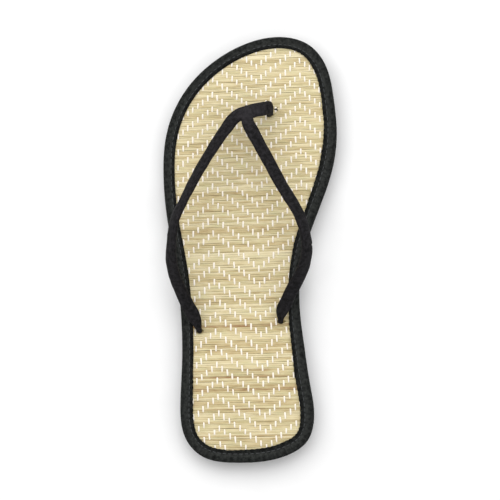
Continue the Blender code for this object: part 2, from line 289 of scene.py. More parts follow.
def new_material(name):
    """An empty node material."""
    material = bpy.data.materials.new(name)
    material.use_nodes = True
    material.node_tree.nodes.clear()
    return material


def finish_material(material, **inputs):
    """Principled shader with these inputs, linked to the output. Underscores stand for spaces."""
    named = {key.replace("_", " "): value for key, value in inputs.items()}
    shader = add(material, "ShaderNodeBsdfPrincipled", named)
    add(material, "ShaderNodeOutputMaterial", {"Surface": shader.outputs[0]})
    return material


def ramp(material, factor, *stops):
    """A colour ramp of (place, hex colour) stops on a factor socket."""
    node = add(material, "ShaderNodeValToRGB", {"Fac": factor})
    elements = node.color_ramp.elements
    while len(elements) < len(stops):
        elements.new(0.5)
    for element, (place, code) in zip(elements, stops):
        element.position = place
        element.color = linear(code)
    return node.outputs["Color"]


def place_on(material, *scale):
    """Object coordinates in metres, scaled so that a texture's cell is as large as asked."""
    where = add(material, "ShaderNodeTexCoord").outputs["Object"]
    return add(material, "ShaderNodeMapping", {"Vector": where, "Scale": scale}).outputs[0]


# Closed-cell EVA foam, sawn and sanded: nearly black, dead matt, with pores about 0.4 mm across.
eva = new_material("sanded black EVA foam")
pores = add(
    eva,
    "ShaderNodeTexNoise",
    {"Vector": place_on(eva, 1, 1, 1), "Scale": 1 / 0.0004, "Detail": 3.0},
)
patches = add(
    eva,
    "ShaderNodeTexNoise",
    {"Vector": place_on(eva, 1, 1, 1), "Scale": 1 / 0.012, "Detail": 4.0},
)
finish_material(
    eva,
    Base_Color=ramp(eva, patches.outputs[0], (0.3, "#1B1B1D"), (0.7, "#26262A")),
    Roughness=0.82,
    Specular_IOR_Level=0.35,
    Normal=add(
        eva, "ShaderNodeBump", {"Height": pores.outputs[0], "Strength": 0.35, "Distance": 0.0002}
    ).outputs[0],
)

rim = rounded_rim(OUTSOLE_INSET, OUTSOLE_EDGE_ROUND, floor_height, sole_top)
points, faces = sheet_solid(rim, steps=400, columns=44, underside=tread)
foam_sole = make_piece("foam_outsole", points, faces, merge=True)
foam_sole.data.materials.append(eva)
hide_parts("outsole")
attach(foam_sole, "root")

# The insole board: pale foam board that stiffens the mat. The binding is folded round its rim, and
# the strap's ends come through it. It is glued to the outsole and hidden in the finished shoe.
board = new_material("pressed foam board")
crumb = add(
    board,
    "ShaderNodeTexVoronoi",
    {"Vector": place_on(board, 1, 1, 1), "Scale": 1 / 0.0015},
)
finish_material(
    board,
    Base_Color=ramp(board, crumb.outputs[0], (0.0, "#CFC7B4"), (0.8, "#B8AE99")),
    Roughness=0.9,
    Normal=add(
        board, "ShaderNodeBump", {"Height": crumb.outputs[0], "Strength": 0.2, "Distance": 0.0003}
    ).outputs[0],
)
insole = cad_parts["insole"]
insole.data.materials.clear()
insole.data.materials.append(board)

# The bamboo mat: split bamboo slivers, two or three to a pick, woven with white cotton warp threads
# on a loom. Each thread passes over two picks and under two, one pick later in each next column, and
# the order turns round every nine columns, which draws zigzags. Three holes let the strap through.

FIT = 0.0003
TAPE_THICKNESS = 0.0009
INSOLE_THICKNESS = 0.0034
MAT_THICKNESS = 0.0016
MAT_BASE = FIT + INSOLE_THICKNESS + FIT
MAT_TOP = MAT_BASE + MAT_THICKNESS
CORE_INSET = TAPE_THICKNESS + FIT
PICK_PITCH = 0.002416
PICK_UNEVENNESS = 0.08  # share of the pitch
PICK_DRIFT = 0.00075  # the loom's slow unevenness, a wave along the sole
DRIFT_WAVE = 0.15
PICK_CROWDING = 0.12  # how much closer together the picks were beaten near the toe
CROWDING_START = 0.075  # y where that begins
PICK_SLOPE = 0.034  # the mat was cut a little askew, more so towards the toe
SLOPE_GROWTH = 0.12
COLUMN_PITCH = 0.00299  # halfway along the sole
COLUMN_SPREAD = 0.00083  # how much wider apart they stand for each metre towards the heel
COLUMN_LEAN = 0.019  # sideways drift towards the heel
COLUMN_BEND = 0.125  # curvature of the columns, per metre
TURN_COLUMNS = 9
PEAK = (-0.0218, -0.0292)  # place of one float in a column where the zigzags point to the toe
SLIVER_THICKNESS = 0.00045
SLIVER_WAVER = 0.00009  # how far a sliver strays sideways
SLOW_WAVER = 90  # radians per metre, as the next two are
QUICK_WAVER = 210
WIDTH_WAVER = 130
SLIVER_FILL = 0.965  # share of its place that a sliver fills, as the mean of a wave
FILL_CHANGE = 0.05  # height of that wave
SLIVER_LEVELS = (-0.00007, 0.00004)  # how far one may lie below or above the rest
SLIVER_TONES = (0.04, 0.41)  # the palest and the brownest, apart from the table below
THREE_SLIVERS = 0.22  # share of picks with three slivers, where the rest have two
GROUND_THICKNESS = 0.0006
WEAVE_DIP = 0.0002
THREAD_WIDTH = 0.00125
THREAD_HEIGHT = 0.0005
THREAD_SIDES = 6
THREAD_WANDER = 0.00014  # how far a float may lie or lean to one side
FLOAT_SHARE = 0.93  # visible length of a float as a share of two picks
HOLE_RADIUS = 0.0015
HOLE_SPREAD = 0.0025
HOLES = {"toe": (0.8182, 0.609), "outer": (0.310, 0.208), "inner": (0.332, 0.677)}

# Slivers that are browner than the rest, from cane with more bark left on it.
# Columns: share of the length, how brown.
BROWN_SLIVERS = (
    (0.169, 0.48),
    (0.322, 0.32),
    (0.217, 0.22),
    (0.125, 0.22),
    (0.095, 0.20),
    (0.200, 0.20),
    (0.607, 0.12),
    (0.678, 0.14),
    (0.513, 0.10),
)
BROWN_REACH = 0.3  # how far the brown spreads, as a share of the pitch
HEEL_PAINTED_SHADE = 0.12  # painted shade: how much browner and darker the slivers are painted at the heel than at the toe, for the light falling off towards the heel
chance = np.random.default_rng(7)

mat_outer, mat_inner = sides(CORE_INSET + FIT)
toe_y, heel_y = mat_outer[0, 1], mat_outer[-1, 1]
uncrowded_toe = CROWDING_START + (toe_y - CROWDING_START) / (1 - PICK_CROWDING)
peak_pick = math.ceil((uncrowded_toe - PEAK[1]) / PICK_PITCH)
peak_pick += (1 - peak_pick) % 4
pick_count = peak_pick + math.ceil((PEAK[1] - heel_y) / PICK_PITCH)
pick_edge = PEAK[1] + (peak_pick - np.arange(pick_count + 2)) * PICK_PITCH
pick_edge += PICK_DRIFT * (np.cos((pick_edge + 0.002) * math.tau / DRIFT_WAVE) - 1 / 3)
pick_edge -= PICK_CROWDING * np.clip(pick_edge - CROWDING_START, 0, None)
pick_edge += PICK_UNEVENNESS * PICK_PITCH * chance.standard_normal(pick_count + 2).clip(-2, 2)


def column_x(column, y):
    """x of a thread column at y: a parabola of y, and an even spacing that widens to the heel."""
    middle = PEAK[0] - COLUMN_LEAN * y + COLUMN_BEND * y**2
    return middle + column * (COLUMN_PITCH - COLUMN_SPREAD * y)


def lift(x, y):
    """How far a pick that crosses the peak column at y has risen or fallen towards the toe at x."""
    return (PICK_SLOPE + SLOPE_GROWTH * y) * (x - column_x(0, y))


def thread_above(pick, column):
    """Whether the warp thread of a column lies over a pick: its place in the four-pick round, which
    starts one pick later for each column away from the nearest peak."""
    away = np.abs((column + TURN_COLUMNS) % (2 * TURN_COLUMNS) - TURN_COLUMNS)
    return (pick - away) % 4 < 2


def spread_round_holes(x, y):
    """How far slivers are pushed aside in y round the strap's holes, and how much narrower they get:
    the new distance from the hole's middle is the root of the old one's square plus a circle's."""
    moved, narrow = y.copy(), np.ones_like(y)
    for hole in HOLES.values():
        hole_x, hole_y = plan(*hole)
        reach = np.clip(1 - ((x - hole_x) / HOLE_SPREAD) ** 2, 0, 1)
        off = y - hole_y
        far = np.sqrt(off**2 + (HOLE_RADIUS**2) * reach)
        moved += np.where(off < 0, -1, 1) * (far - np.abs(off))
        narrow *= np.clip(np.abs(off) / np.maximum(far, 1e-9), 0.3, 1)
    return moved, narrow


def sliver(pick, low_share, high_share):
    """One sliver between two shares of its pick's width, as rings of six points along it. It runs in
    x, wavers a little in y, dips under each thread above it and rises over each thread below."""
    pick_width = pick_edge[pick] - pick_edge[pick + 1]
    width = pick_width * (high_share - low_share)
    middle = pick_edge[pick] - pick_width * (low_share + high_share) / 2
    start, pitch = column_x(0, middle), column_x(1, middle) - column_x(0, middle)
    x = start + pitch / 3 * np.arange(-3 * widest, 3 * widest)
    y = middle + lift(x, middle)
    for side in (-width / 2, width / 2):
        left, right = (np.interp(-y - side, -rim[:, 1], rim[:, 0]) for rim in (mat_outer, mat_inner))
        x = np.where((x > left) & (x < right), x, np.nan)
    x, y = x[~np.isnan(x)], y[~np.isnan(x)]
    if len(x) < 9:
        return None
    column = np.rint((x - start) / pitch)
    near = np.exp(-(((x - start - column * pitch) / (0.3 * pitch)) ** 2))
    dip = np.where(thread_above(pick, column), -1, 0.6) * near * WEAVE_DIP
    phase, drift = chance.uniform(0, math.tau, 3), chance.uniform(0.4, 1.0)
    waver = np.sin(x * SLOW_WAVER + phase[0]) + 0.6 * np.sin(x * QUICK_WAVER + phase[1])
    y, narrow = spread_round_holes(x, y + waver * SLIVER_WAVER * drift)
    half = width / 2 * (SLIVER_FILL + FILL_CHANGE * np.sin(x * WIDTH_WAVER + phase[2])) * narrow
    base = sole_top(y) + MAT_TOP - WEAVE_DIP - SLIVER_THICKNESS + chance.uniform(*SLIVER_LEVELS)
    # Columns: share of the half width, share of the thickness.
    section = np.array([(-1, 0), (-0.97, 0.75), (-0.5, 1), (0.5, 1), (0.97, 0.75), (1, 0)])
    side = y[:, None] + half[:, None] * section[:, 0]
    up = (base + dip)[:, None] + SLIVER_THICKNESS * section[:, 1]
    return np.stack([np.broadcast_to(x[:, None], side.shape), side, up], -1)


def tubes(lines):
    """Points and faces of closed tubes, each given as rings of points, with a face at each end."""
    faces, count = [], 0
    for line in lines:
        rings, around = line.shape[:2]
        row, column = quads(rings, around, wrap_columns=True)
        faces += (count + row * around + column % around).tolist()
        faces.append(list(range(count, count + around)))
        count += rings * around
        faces.append(list(range(count - 1, count - 1 - around, -1)))
    return np.vstack([line.reshape(-1, 3) for line in lines]), faces


widest = int(BALL_WIDTH / COLUMN_PITCH)
slivers, tones_and_painted_shade = [], []
for pick in range(pick_count):
    cuts = [0, chance.uniform(0.4, 0.6), 1]
    if chance.random() < THREE_SLIVERS:
        cuts = [0, chance.uniform(0.28, 0.36), chance.uniform(0.62, 0.7), 1]
    for low, high in zip(cuts, cuts[1:]):
        made = sliver(pick, low, high)
        if made is not None:
            slivers.append(made)
            share = (pick_edge[pick] - (low + high) / 2 * PICK_PITCH) / SOLE_LENGTH + 0.5
            reach = BROWN_REACH * PICK_PITCH
            off = [abs(share - place) * SOLE_LENGTH / reach for place, _ in BROWN_SLIVERS]
            brown = sum(how * math.exp(-(o**2)) for o, (_, how) in zip(off, BROWN_SLIVERS))
            # The last term is painted shade: the sliver's tone darkens towards the heel, standing for
            # the fall of the light.
            tones_and_painted_shade.append(chance.uniform(*SLIVER_TONES) + brown + HEEL_PAINTED_SHADE * (0.5 - share))

# Split bamboo, dried: pale greenish straw with satin fibres lengthwise, all a little uneven, and
# short darker streaks where the skin of the cane was left on.
bamboo = new_material("split bamboo slivers")
fibres = add(
    bamboo,
    "ShaderNodeTexNoise",
    {"Vector": place_on(bamboo, 60, 3600, 900), "Scale": 1.0, "Detail": 3.0, "Roughness": 0.6},
)
blotches = add(
    bamboo,
    "ShaderNodeTexNoise",
    {"Vector": place_on(bamboo, 170, 620, 100), "Scale": 1.0, "Detail": 2.0},
)
# Each sliver's tone, with painted shade towards the heel in it.
tone_and_painted_light = add(bamboo, "ShaderNodeAttribute", attribute_name="tone_and_painted_light").outputs["Fac"]
mixed = add(
    bamboo, "ShaderNodeMath", {0: blotches.outputs[0], 1: 0.45, 2: tone_and_painted_light}, operation="MULTIPLY_ADD"
)
mixed = add(
    bamboo,
    "ShaderNodeMath",
    {0: fibres.outputs[0], 1: 0.30, 2: mixed.outputs[0]},
    operation="MULTIPLY_ADD",
)
straw = ramp(
    bamboo,
    mixed.outputs[0],
    (0.38, "#E3D6B0"),
    (0.58, "#D5C69B"),
    (0.78, "#C2AE80"),
    (1.00, "#9C7A50"),
)
# Where the cane was cut greener, the straw keeps a green cast.
casts = add(
    bamboo,
    "ShaderNodeTexNoise",
    {"Vector": place_on(bamboo, 90, 380, 100), "Scale": 1.0, "Detail": 1.0},
)
straw = add(
    bamboo,
    "ShaderNodeMix",
    {
        0: ramp(bamboo, casts.outputs[0], (0.45, "#000000"), (0.75, "#B0B0B0")),
        6: straw,
        7: linear("#C6C190"),
    },
    data_type="RGBA",
    blend_type="MIX",
).outputs[2]
finish_material(
    bamboo,
    Base_Color=straw,
    Roughness=0.5,
    Specular_IOR_Level=0.4,
    Normal=add(
        bamboo, "ShaderNodeBump", {"Height": fibres.outputs[0], "Strength": 0.3, "Distance": 0.0001}
    ).outputs[0],
)

half = len(slivers) // 2
for name, chosen, shades in (
    ("bamboo_slivers_front", slivers[:half], tones_and_painted_shade[:half]),
    ("bamboo_slivers_rear", slivers[half:], tones_and_painted_shade[half:]),
):
    points, faces = tubes(chosen)
    tone_and_painted_light = np.concatenate([np.full(line.size // 3, shade) for line, shade in zip(chosen, shades)])
    mat = make_piece(name, points, faces, tone_and_painted_light=tone_and_painted_light, sharp=60)
    mat.data.materials.append(bamboo)
    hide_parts("bamboo_mat")
    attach(mat, "root")

# Under the slivers that show lie the threads' other halves and glue, seen only in the gaps. This
# sheet stands for them in a brown darker than the slivers, which is partly painted shade in the gaps.
ground_material = new_material("brown gap fill with painted shade")
dust = add(
    ground_material,
    "ShaderNodeTexNoise",
    {"Vector": place_on(ground_material, 1, 1, 1), "Scale": 1 / 0.002},
)
finish_material(
    ground_material,
    Base_Color=ramp(ground_material, dust.outputs[0], (0.3, "#8E7A4E"), (0.7, "#A8935F")),
    Roughness=0.9,
)
points, faces = sheet_solid(
    (
        (CORE_INSET + FIT, lambda y: sole_top(y) + MAT_BASE),
        (CORE_INSET + FIT, lambda y: sole_top(y) + MAT_BASE + GROUND_THICKNESS),
    ),
    steps=160,
    columns=2,
)
ground = make_piece("mat_ground", points, faces, merge=True)
ground.data.materials.append(ground_material)
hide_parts("bamboo_mat")
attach(ground, "root")


def warp_float(pick, column, inside):
    """The stretch of a warp thread that shows over two picks: a flat oval tube that comes up steeply
    out of the gap before them and sinks slowly, getting narrower, into the gap after them."""
    top, bottom = pick_edge[pick], pick_edge[pick + 2]
    middle = (top + bottom) / 2
    middle += lift(column_x(column, middle), middle)
    x = column_x(column, middle)
    left, right = inside(middle)
    near_hole = min(math.dist((x, middle), plan(*hole)) for hole in HOLES.values())
    if not left < x < right or near_hole < HOLE_RADIUS + THREAD_WIDTH / 2:
        return None
    t = np.linspace(-1, 1, 9)
    y = middle + t * (bottom - top) / 2 * FLOAT_SHARE
    aside = chance.uniform(-1, 1) + chance.uniform(-1, 1) * t
    line_x = column_x(column, y) + aside * THREAD_WANDER
    rise = 1 - np.abs(t) ** np.where(t < 0, 6, 3.5)
    middle_z = sole_top(y) + MAT_TOP - 2 * WEAVE_DIP + THREAD_HEIGHT * (0.42 * rise - 0.9 * (1 - rise))
    wide = THREAD_WIDTH / 2 * (1 - 0.25 * t**4 - 0.22 * t.clip(0, 1) ** 2) * chance.uniform(0.86, 1.06)
    turn = (np.arange(THREAD_SIDES) + 0.5) * math.tau / THREAD_SIDES
    x_ring = line_x[:, None] + wide[:, None] * np.cos(turn)
    z_ring = middle_z[:, None] + THREAD_HEIGHT / 2 * np.sin(turn)
    return np.stack([x_ring, np.broadcast_to(y[:, None], x_ring.shape), z_ring], -1)


# White cotton yarn, loosely twisted: matt and slightly fuzzy, brighter than the bamboo.
cotton = new_material("white cotton warp yarn")
twist = add(
    cotton,
    "ShaderNodeTexNoise",
    {"Vector": place_on(cotton, 2500, 700, 1200), "Scale": 1.0, "Detail": 2.0},
)
finish_material(
    cotton,
    Base_Color=ramp(cotton, twist.outputs[0], (0.3, "#F4EBDC"), (0.7, "#FFF8EE")),
    Roughness=0.85,
    Sheen_Weight=0.3,
    Normal=add(
        cotton, "ShaderNodeBump", {"Height": twist.outputs[0], "Strength": 0.3, "Distance": 0.0001}
    ).outputs[0],
)
rim_outer, rim_inner = sides(-THREAD_WIDTH, tape_share=1)


def inside_binding(y):
    """x of both sides of the mat that shows, or an empty span beyond its ends."""
    if not rim_outer[-1, 1] + PICK_PITCH / 2 < y < rim_outer[0, 1] - PICK_PITCH / 2:
        return 0, 0
    return tuple(np.interp(-y, -side[:, 1], side[:, 0]) for side in (rim_outer, rim_inner))


floats = [
    warp_float(pick, column, inside_binding)
    for column in range(-widest, widest)
    for pick in range(pick_count)
    if thread_above(pick, column) and not thread_above(pick - 1, column)
]
points, faces = tubes([line for line in floats if line is not None])
threads = make_piece("warp_threads", points, faces, sharp=180)
threads.data.materials.append(cotton)
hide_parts("bamboo_mat")
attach(threads, "root")

# The binding: black cotton tape folded round the edge of the mat and the board, its raw edge rolled
# under on the mat side, and sewn through with one row of lockstitches that pucker it slightly.

TAPE_UNDER = 0.005
TAPE_ROUND = 0.0017
TAPE_CEILING = MAT_TOP + FIT
TAPE_CREST = TAPE_CEILING + TAPE_THICKNESS
FLAT_START = 0.0028  # inset where the binding's rounded side ends and its flat top begins
STITCH_INSET = 0.0050
STITCH_PITCH = 0.0035
STITCH_LENGTH = 0.0024
STITCH_RADIUS = 0.00024
PUCKER = 0.0002
ROW_REACH = 0.0009  # how far from the stitches the tape is drawn down
PUFF = 0.00009  # how far the tape rises between two stitches
PUFF_REACH = 0.0014
TAPE_SWELL = 0.0001  # how much higher the flat top is beside the rounded side than at the stitches
TAPE_WAVE = 0.00005  # slow unevenness of the top
HEM_WAVE = 0.00011  # and of the rolled edge
HEM_PULL = 0.00024  # how far a stitch draws the rolled edge outwards
HEM_RADIUS = 0.00075  # half the width of the rolled edge
HEM_MIDDLE = 0.0005  # height of its middle over the tape's underside
HEM_RISE = 0.00055  # half its height
CORNER = 0.001  # the inside corner that the folded tape cuts off
BAND_INSET = 0.0041  # middle of the part of the top that is painted paler
BAND_REACH = 0.0012
BAND_PALER = 0.12
HEM_PAINTED_SHADE = 0.09  # painted shade on the rolled edge, where the fold turns under: how much darker it is
HEM_FADE = 0.001  # width over which it darkens
AROUND_SOLE = 1100
# The slow unevenness of the tape. Columns: radians per metre, height, phase.
TAPE_WAVES = ((95, 1.0, 0), (233, 0.7, 1), (431, 0.5, 2))

edge, inward, tape_width = edge_curve(AROUND_SOLE)
run = np.linalg.norm(np.roll(edge, -1, axis=0) - edge, axis=1)
run = np.concatenate([[0], np.cumsum(run)])
stitch_count = round(run[-1] / STITCH_PITCH)


def widened(inset):
    """Insets on the binding's top for its own width at each place: what lies past the rounded side
    is stretched evenly from there."""
    share = np.clip((inset - FLAT_START) / (TAPE_OVER - FLAT_START), 0, 1)
    return inset + share * (tape_width - TAPE_OVER)


def arc(middle_inset, middle_level, radius_inset, radius_level, start, end, steps):
    """Points of an ellipse's arc in the binding's section, between two angles in degrees."""
    turn = np.radians(np.linspace(start, end, steps))
    return np.column_stack(
        [middle_inset - radius_inset * np.cos(turn), middle_level + radius_level * np.sin(turn)]
    )


wall = TAPE_THICKNESS
section = np.vstack(
    [
        [(TAPE_UNDER, FIT)],
        arc(TAPE_ROUND, FIT + TAPE_ROUND, TAPE_ROUND, TAPE_ROUND, -90, 0, 7),
        arc(TAPE_ROUND, TAPE_CREST - TAPE_ROUND, TAPE_ROUND, TAPE_ROUND, 0, 90, 8),
        [(FLAT_START, TAPE_CREST + TAPE_SWELL)],
        [((FLAT_START + STITCH_INSET) / 2, TAPE_CREST + TAPE_SWELL / 2)],
        [(STITCH_INSET, TAPE_CREST)],
        [(STITCH_INSET + ROW_REACH, TAPE_CREST + TAPE_SWELL / 2)],
        arc(TAPE_OVER - HEM_RADIUS, TAPE_CEILING + HEM_MIDDLE, -HEM_RADIUS, HEM_RISE, 90, -80, 9),
        [(wall + CORNER, TAPE_CEILING), (wall, TAPE_CEILING - CORNER), (wall, FIT + wall)],
        [(TAPE_UNDER, FIT + wall)],
    ]
)


def binding_surface():
    """The section carried round the sole's edge. Near each stitch the top is drawn down, as the
    square of a cosine of the distance along, and the rolled edge wavers in and out."""
    inset, level = section.T
    along = run[:-1, None]
    pull = np.cos(along * math.pi * stitch_count / run[-1]) ** 2
    on_top = level > TAPE_CEILING
    near_row = np.exp(-(((inset - STITCH_INSET) / ROW_REACH) ** 2)) * on_top
    puffed = np.exp(-(((inset - FLAT_START) / PUFF_REACH) ** 2)) * on_top
    slow = sum(high * np.sin(along * rate + phase) for rate, high, phase in TAPE_WAVES)
    z = level - PUCKER * near_row * (0.8 + 0.9 * pull) + PUFF * puffed * (1 - pull)
    z = z + TAPE_WAVE * slow * on_top * (inset > TAPE_ROUND)
    rolled = np.clip((inset - STITCH_INSET) / (TAPE_OVER - STITCH_INSET), 0, 1) * on_top
    inset = widened(inset * on_top) + inset * ~on_top
    inset = inset + rolled * (HEM_WAVE * slow - HEM_PULL * pull)
    place = edge[:, None] + inward[:, None] * inset[:, :, None]
    return np.concatenate([place, (sole_top(place[..., 1]) + z)[..., None]], axis=2)


def cloth(name, dark, light, thread_mm, sheen, roughness, bump):
    """Plain woven cotton on UVs in millimetres: warp and weft are sine bands at the thread's spacing,
    multiplied, over slow patches of wear and lint. The tone_and_painted_light attribute is added to
    that: painted highlights on the strap's lap and toe loop, a paler band along the binding's top,
    and, as a negative, painted shade on the binding's rolled edge."""
    material = new_material(name)
    uv = add(material, "ShaderNodeTexCoord").outputs["UV"]
    bands = [
        add(
            material,
            "ShaderNodeTexWave",
            {"Vector": uv, "Scale": math.pi / 10 / thread_mm, "Distortion": 0.6, "Detail Scale": 0.4},
            bands_direction=direction,
        ).outputs["Fac"]
        for direction in ("X", "Y")
    ]
    weave = add(material, "ShaderNodeMath", {0: bands[0], 1: bands[1]}, operation="MULTIPLY")
    patches = add(
        material,
        "ShaderNodeTexNoise",
        {"Vector": uv, "Scale": 0.45, "Detail": 4.0, "Roughness": 0.75},
    )
    shade = add(
        material,
        "ShaderNodeMath",
        {0: weave.outputs[0], 1: 0.35, 2: patches.outputs[0]},
        operation="MULTIPLY_ADD",
    )
    # Painted light: the attribute read here adds painted highlights and takes away painted shade.
    added_tone_and_light = add(material, "ShaderNodeAttribute", attribute_name="tone_and_painted_light").outputs["Fac"]
    shade = add(material, "ShaderNodeMath", {0: shade.outputs[0], 1: added_tone_and_light}, operation="ADD")
    return finish_material(
        material,
        Base_Color=ramp(material, shade.outputs[0], (0.46, dark), (0.82, light)),
        Roughness=roughness,
        Sheen_Weight=sheen,
        Sheen_Roughness=0.4,
        Specular_IOR_Level=0.1,
        Normal=add(
            material,
            "ShaderNodeBump",
            {"Height": weave.outputs[0], "Strength": bump, "Distance": 0.00015},
        ).outputs[0],
    )


# Black cotton tape, plain weave, dyed: charcoal rather than black, with a cool cast in the light.
tape = cloth("black cotton tape", "#040505", "#383A38", 0.6, 0.01, 0.85, 0.6)
grid = binding_surface()
row, column = quads(*grid.shape[:2], wrap_rows=True, wrap_columns=True)
girth = np.linalg.norm(np.roll(section, -1, axis=0) - section, axis=1)
girth = np.concatenate([[0], np.cumsum(girth)])
faces = row % len(grid) * len(section) + column % len(section)
uv = np.stack([run[row] * 1000, girth[column] * 1000], -1)
# The top's tone: a paler band along its middle, and painted shade on the rolled edge where it turns
# under.
middle_band = BAND_PALER * np.exp(-(((section[:, 0] - BAND_INSET) / BAND_REACH) ** 2))
painted_hem_shade = HEM_PAINTED_SHADE * np.clip((section[:, 0] - STITCH_INSET) / HEM_FADE, 0, 1)
tone_and_painted_light = (middle_band - painted_hem_shade) * (section[:, 1] > TAPE_CEILING)
tone_and_painted_light = np.broadcast_to(tone_and_painted_light, grid.shape[:2])
binding = make_piece("cloth_binding", grid, faces.tolist(), uv=uv, tone_and_painted_light=tone_and_painted_light, sharp=70)
binding.data.materials.append(tape)
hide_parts("edge_binding")
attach(binding, "root")

row_line = edge + inward * widened(np.full((AROUND_SOLE, 1), STITCH_INSET))


def stitch(number):
    """One stitch: a short oval thread along the row that sinks into the tape at both ends."""
    t = np.linspace(-1, 1, 7)
    at = ((number + 0.5) * run[-1] / stitch_count + t * STITCH_LENGTH / 2) % run[-1]
    x, y = (np.interp(at, run[:-1], row_line[:, k], period=run[-1]) for k in (0, 1))
    ahead = np.gradient(np.column_stack([x, y]), axis=0)
    ahead /= np.linalg.norm(ahead, axis=1)[:, None]
    z = sole_top(y) + TAPE_CREST - PUCKER - STITCH_RADIUS * (t**4 * 1.5 - 0.3)
    turn = np.arange(THREAD_SIDES) * math.tau / THREAD_SIDES
    aside = STITCH_RADIUS * np.cos(turn)
    x_ring = x[:, None] - ahead[:, 1:] * aside
    y_ring = y[:, None] + ahead[:, :1] * aside
    z_ring = z[:, None] + STITCH_RADIUS * np.sin(turn)
    return np.stack([x_ring, y_ring, z_ring], -1)


# Waxed polyester thread: a shade lighter than the tape, with a faint gloss.
thread = new_material("dark grey sewing thread")
ply = add(
    thread, "ShaderNodeTexNoise", {"Vector": place_on(thread, 1, 1, 1), "Scale": 1 / 0.0003}
)
finish_material(
    thread,
    Base_Color=ramp(thread, ply.outputs[0], (0.3, "#2A2C2E"), (0.7, "#3C3E40")),
    Roughness=0.5,
)
points, faces = tubes([stitch(number) for number in range(stitch_count)])
stitches = make_piece("binding_stitches", points, faces, sharp=180)
stitches.data.materials.append(thread)
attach(stitches, "root")

# The strap: a cotton tube turned right side out over a soft cord. One length makes the toe loop and
# the outer arm, and the inner arm is lapped over it and sewn down. Each end is pinched to pass its
# hole, and is spread flat and glued under the board.

STRAP_WIDTH = 0.0085
STRAP_THICKNESS = 0.0036
STRAP_RISE = 0.036
STEM_DIAMETER = 0.0030
TAB_DIAMETER = 0.0080
TAB_THICKNESS = 0.0015
TAB_SIDES = 32
TAB_EDGE = 0.0003  # how much of a tab's thickness is rounded off at top and bottom
STRAP_SIDES = 36
STRAP_SQUARENESS = 0.85  # 1 is an ellipse, less has flatter faces
STRAP_GIRTH = 20.5  # round the section, in millimetres as the cloth's UVs are
WRINKLE = 0.00007
WRINKLE_RATES = (3300, 5300)  # radians per metre along the tube
SHARP_BEND = 60  # curvature, per metre, at which the cloth wrinkles fully
UNEVENNESS = 0.00006
UNEVEN_RATES = (190, 410, 730)
PLEAT = 0.00016
SEAM_DEPTH = 0.00025
SEAM_REACH = 0.14  # radians round the section

# The strap's middle line, from the toe hole over the outer side, and then the inner arm.
# Columns: share of the length, share of the ball width, share of the rise, share of the strap's
# width and of its thickness, heading of its outer edge in degrees from +X, dip of that edge.
TOE_AND_OUTER_ARM = (
    (0.8209, 0.611, 0.090, 0.48, 0.90, 90, 0),
    (0.8269, 0.618, 0.170, 0.76, 0.95, 92, 0),
    (0.8330, 0.614, 0.270, 0.92, 1.00, 96, 0),
    (0.8321, 0.584, 0.380, 0.98, 1.00, 103, 5),
    (0.8293, 0.554, 0.450, 1.00, 1.00, 105, 7),
    (0.8261, 0.516, 0.510, 0.98, 1.00, 107, 9),
    (0.8218, 0.482, 0.550, 0.95, 1.00, 110, 10),
    (0.8185, 0.449, 0.570, 0.91, 1.00, 118, 12),
    (0.8103, 0.415, 0.590, 0.89, 1.00, 128, 16),
    (0.7878, 0.370, 0.630, 0.90, 1.00, 138, 26),
    (0.7679, 0.334, 0.655, 0.91, 1.00, 143, 34),
    (0.7427, 0.293, 0.690, 0.92, 1.00, 148, 41),
    (0.7241, 0.265, 0.715, 0.93, 1.00, 149, 46),
    (0.6891, 0.214, 0.775, 0.93, 1.00, 150, 52),
    (0.6557, 0.169, 0.830, 0.93, 1.00, 151, 55),
    (0.6261, 0.132, 0.875, 0.93, 1.00, 154, 57),
    (0.6001, 0.101, 0.905, 0.93, 1.00, 158, 58),
    (0.5799, 0.078, 0.930, 0.93, 1.00, 162, 57),
    (0.5301, 0.053, 0.920, 0.94, 1.00, 175, 55),
    (0.4839, 0.048, 0.810, 0.97, 1.00, 182, 50),
    (0.4401, 0.068, 0.620, 0.97, 1.00, 192, 42),
    (0.4051, 0.102, 0.430, 0.97, 1.00, 200, 32),
    (0.3720, 0.141, 0.280, 0.97, 1.00, 203, 22),
    (0.3410, 0.181, 0.190, 0.91, 1.00, 204, 10),
    (0.3211, 0.200, 0.125, 0.50, 0.95, 204, 0),
)
INNER_ARM = (
    (0.8352, 0.489, 0.500, 0.56, 0.60, 3, 0),
    (0.8272, 0.487, 0.575, 0.66, 0.85, 3, 0),
    (0.8122, 0.483, 0.600, 0.84, 0.95, 14, 8),
    (0.7971, 0.489, 0.610, 0.92, 1.00, 25, 10),
    (0.7796, 0.511, 0.625, 0.94, 1.00, 28, 14),
    (0.7596, 0.538, 0.650, 0.94, 1.00, 29, 24),
    (0.6951, 0.623, 0.760, 0.95, 1.00, 30, 29),
    (0.6622, 0.667, 0.810, 0.93, 1.00, 29, 34),
    (0.6289, 0.716, 0.860, 0.93, 1.00, 28, 34),
    (0.5799, 0.784, 0.920, 0.94, 1.00, 22, 42),
    (0.5389, 0.817, 0.920, 0.96, 1.00, 10, 48),
    (0.5090, 0.826, 0.860, 0.97, 1.00, 0, 48),
    (0.4729, 0.815, 0.700, 0.97, 1.00, -10, 44),
    (0.4371, 0.782, 0.520, 0.97, 1.00, -20, 34),
    (0.4029, 0.737, 0.360, 0.97, 1.00, -25, 24),
    (0.3739, 0.702, 0.240, 0.93, 1.00, -27, 14),
    (0.3539, 0.681, 0.170, 0.81, 1.00, -25, 5),
    (0.3405, 0.677, 0.110, 0.48, 0.95, -20, 0),
)
# Where the strap has been folded: shares of the length and the ball width.
CREASES = ((0.5068, 0.8124), (0.8310, 0.5900))
CREASE_DEPTH = 0.0004
CREASE_WIDTH = 0.0007
CREASE_LEAN = 0.0006  # how far ahead a crease lies at one edge of the tube, and back at the other
